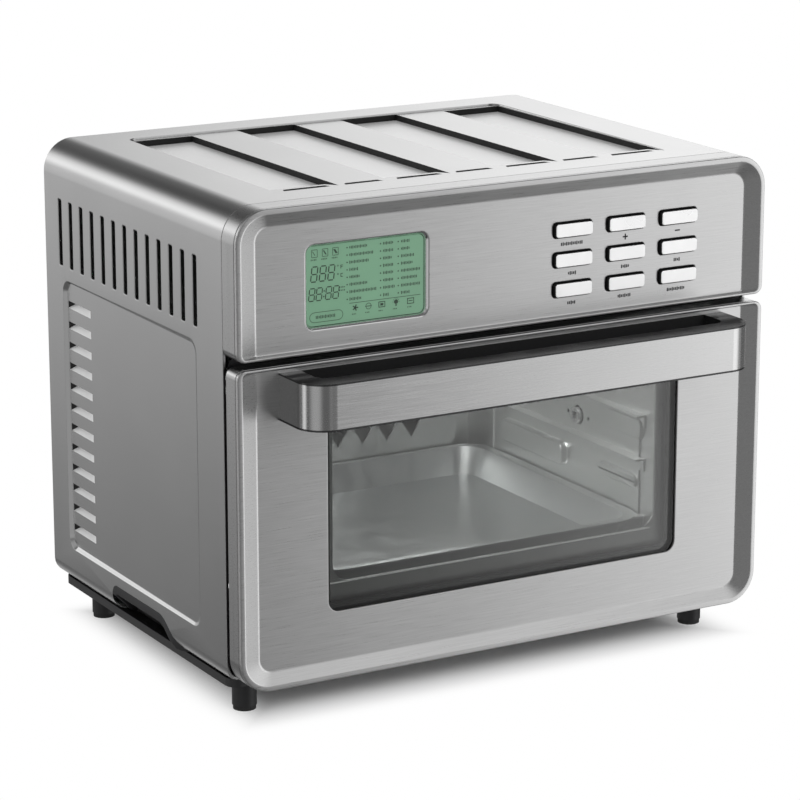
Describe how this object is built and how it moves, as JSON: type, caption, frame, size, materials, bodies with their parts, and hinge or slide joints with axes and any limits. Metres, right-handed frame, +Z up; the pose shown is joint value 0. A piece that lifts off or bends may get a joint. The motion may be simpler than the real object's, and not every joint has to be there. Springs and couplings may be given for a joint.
{
  "type": "toaster oven",
  "caption": "Countertop toaster oven with a brushed steel casing, louvred top and sides, a display and push buttons over a drop-down glass door with a bar handle.",
  "frame": {"origin": "on the worktop, under the middle of the whole oven with its handle", "axes": "+X to the right as seen from the front, +Y towards the rear cover, +Z up"},
  "size_m": [0.4, 0.33, 0.3395],
  "materials": {
    "brushed_panel": "horizontally brushed",
    "casing_steel": "fine brushed",
    "galvanised_sheet": "matt, slightly mottled",
    "black_paint": "satin black",
    "black_plastic": "satin black",
    "gloss_black_plastic": "gloss black",
    "foot_rubber": "matt",
    "screw_steel": "plated",
    "clear_glass": "clear, slightly grey-green",
    "display_plastic": "clear with a green tint",
    "display_green": "green liquid crystal",
    "button_silver": "silver",
    "heater_metal": "oxidised",
    "ceramic_white": "unglazed",
    "circuit_board": "solder mask",
    "component_black": "moulded",
    "silicone": "matt",
    "tray_enamel": "grey non-stick"
  },
  "bodies": {
    "housing": {"outer_wrap": "casing_steel", "rear_cover": "galvanised_sheet", "cover_screws": "screw_steel", "base_plate": "black_paint", "feet": "black_plastic", "foot_pads": "foot_rubber", "foot_screws": "screw_steel", "handhold_liner_left": "black_plastic", "handhold_liner_right": "black_plastic", "fascia_panel": "brushed_panel", "fascia_collar": "brushed_panel", "display_bezel": "gloss_black_plastic", "display_lens": "display_plastic", "lcd_module": "display_green", "tact_switches": "component_black", "button_carrier": "black_plastic", "control_board": "circuit_board", "hinge_bracket_left": "galvanised_sheet", "hinge_bracket_right": "galvanised_sheet", "oven_cavity": "galvanised_sheet", "cavity_flange": "black_paint", "rack_rails_left": "galvanised_sheet", "rack_rails_right": "galvanised_sheet", "upper_heaters": "heater_metal", "lower_heaters": "heater_metal", "heater_insulators": "ceramic_white", "fan_cover": "galvanised_sheet", "fan_motor": "galvanised_sheet", "rotisserie_motor": "component_black", "lamp_cover": "clear_glass", "oven_lamp": "clear_glass", "lamp_holder": "galvanised_sheet", "temperature_probe": "screw_steel", "power_board": "circuit_board", "board_posts": "black_plastic", "board_parts": "component_black", "cord_gland": "black_plastic"},
    "door": {"door_skin": "brushed_panel", "door_ring": "brushed_panel", "outer_glass": "clear_glass", "inner_glass": "clear_glass", "door_inner_frame": "black_paint", "door_gasket": "silicone", "handle_body": "gloss_black_plastic", "handle_strip": "brushed_panel", "handle_screws": "screw_steel", "hinge_pins": "screw_steel"},
    "button_menu": {"button_menu": "button_silver"},
    "button_plus": {"button_plus": "button_silver"},
    "button_minus": {"button_minus": "button_silver"},
    "button_light": {"button_light": "button_silver"},
    "button_temperature": {"button_temperature": "button_silver"},
    "button_time": {"button_time": "button_silver"},
    "button_reset": {"button_reset": "button_silver"},
    "button_preheat": {"button_preheat": "button_silver"},
    "button_start": {"button_start": "button_silver"},
    "convection_fan": {"convection_fan": "galvanised_sheet"},
    "rotisserie_socket": {"rotisserie_socket": "screw_steel"},
    "baking_tray": {"baking_tray": "tray_enamel"},
    "crumb_tray": {"crumb_tray": "galvanised_sheet"}
  },
  "joints": [
    {"name": "door_hinge", "type": "hinge", "parent": "housing", "child": "door", "pos_m": [0, -0.114, 0.036], "axis": [1, 0, 0], "range_deg": [0, 82], "stiffness_Nm_per_rad": 0.5, "springref_deg": -45.84},
    {"name": "button_menu_press", "type": "slide", "parent": "housing", "child": "button_menu", "axis": [0, 1, 0], "range_m": [0, 0.0008], "stiffness_N_per_m": 1500, "springref_m": -0.0005},
    {"name": "button_plus_press", "type": "slide", "parent": "housing", "child": "button_plus", "axis": [0, 1, 0], "range_m": [0, 0.0008], "stiffness_N_per_m": 1500, "springref_m": -0.0005},
    {"name": "button_minus_press", "type": "slide", "parent": "housing", "child": "button_minus", "axis": [0, 1, 0], "range_m": [0, 0.0008], "stiffness_N_per_m": 1500, "springref_m": -0.0005},
    {"name": "button_light_press", "type": "slide", "parent": "housing", "child": "button_light", "axis": [0, 1, 0], "range_m": [0, 0.0008], "stiffness_N_per_m": 1500, "springref_m": -0.0005},
    {"name": "button_temperature_press", "type": "slide", "parent": "housing", "child": "button_temperature", "axis": [0, 1, 0], "range_m": [0, 0.0008], "stiffness_N_per_m": 1500, "springref_m": -0.0005},
    {"name": "button_time_press", "type": "slide", "parent": "housing", "child": "button_time", "axis": [0, 1, 0], "range_m": [0, 0.0008], "stiffness_N_per_m": 1500, "springref_m": -0.0005},
    {"name": "button_reset_press", "type": "slide", "parent": "housing", "child": "button_reset", "axis": [0, 1, 0], "range_m": [0, 0.0008], "stiffness_N_per_m": 1500, "springref_m": -0.0005},
    {"name": "button_preheat_press", "type": "slide", "parent": "housing", "child": "button_preheat", "axis": [0, 1, 0], "range_m": [0, 0.0008], "stiffness_N_per_m": 1500, "springref_m": -0.0005},
    {"name": "button_start_press", "type": "slide", "parent": "housing", "child": "button_start", "axis": [0, 1, 0], "range_m": [0, 0.0008], "stiffness_N_per_m": 1500, "springref_m": -0.0005},
    {"name": "fan_spin", "type": "hinge", "parent": "housing", "child": "convection_fan", "pos_m": [0, 0.143, 0.14], "axis": [0, 1, 0], "continuous": true},
    {"name": "rotisserie_spin", "type": "hinge", "parent": "housing", "child": "rotisserie_socket", "pos_m": [0.13, -0.008, 0.1396], "axis": [1, 0, 0], "continuous": true},
    {"name": "tray_slide", "type": "slide", "parent": "housing", "child": "baking_tray", "axis": [0, -1, 0], "range_m": [0, 0.08]},
    {"name": "crumb_tray_slide", "type": "slide", "parent": "housing", "child": "crumb_tray", "axis": [0, -1, 0], "range_m": [0, 0.02]}
  ],
  "couplings": [
    {"joint": "tray_slide", "follows": "door_hinge", "m_per_rad": 0.055},
    {"joint": "crumb_tray_slide", "follows": "door_hinge", "m_per_rad": 0.012}
  ]
}
